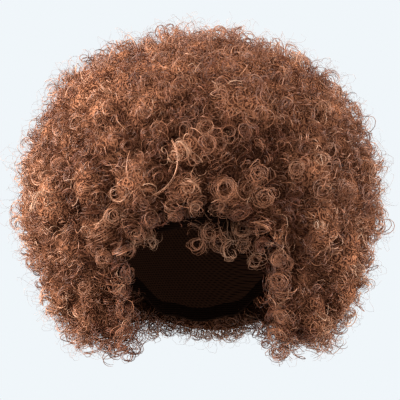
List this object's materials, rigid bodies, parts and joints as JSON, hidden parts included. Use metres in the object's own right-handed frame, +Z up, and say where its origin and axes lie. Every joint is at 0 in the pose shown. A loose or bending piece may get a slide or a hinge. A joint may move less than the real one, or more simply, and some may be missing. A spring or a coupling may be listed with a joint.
{
  "type": "curly wig",
  "caption": "Full, round curly wig: a stretch net cap with an elastic edge band, rows of ringlet locks open at the face, and a loose curled fringe.",
  "frame": {"origin": "inside of the cap at the top of the head, where the wig sits on the head", "axes": "+Z up, -Y towards the front of the face, +X to the viewer's right from the front"},
  "size_m": [0.3171, 0.3097, 0.2758],
  "materials": {
    "hair": "satin synthetic fibre",
    "cap": "matt net",
    "band": "matt ribbed elastic"
  },
  "bodies": {
    "root": {"cap_net": "cap", "edge_band": "band", "crown_curls": "hair", "weft_row_1": "hair", "weft_row_2": "hair", "weft_row_3": "hair", "weft_row_4": "hair", "weft_row_5": "hair", "weft_row_6": "hair", "fringe_curls": "hair"}
  },
  "joints": []
}
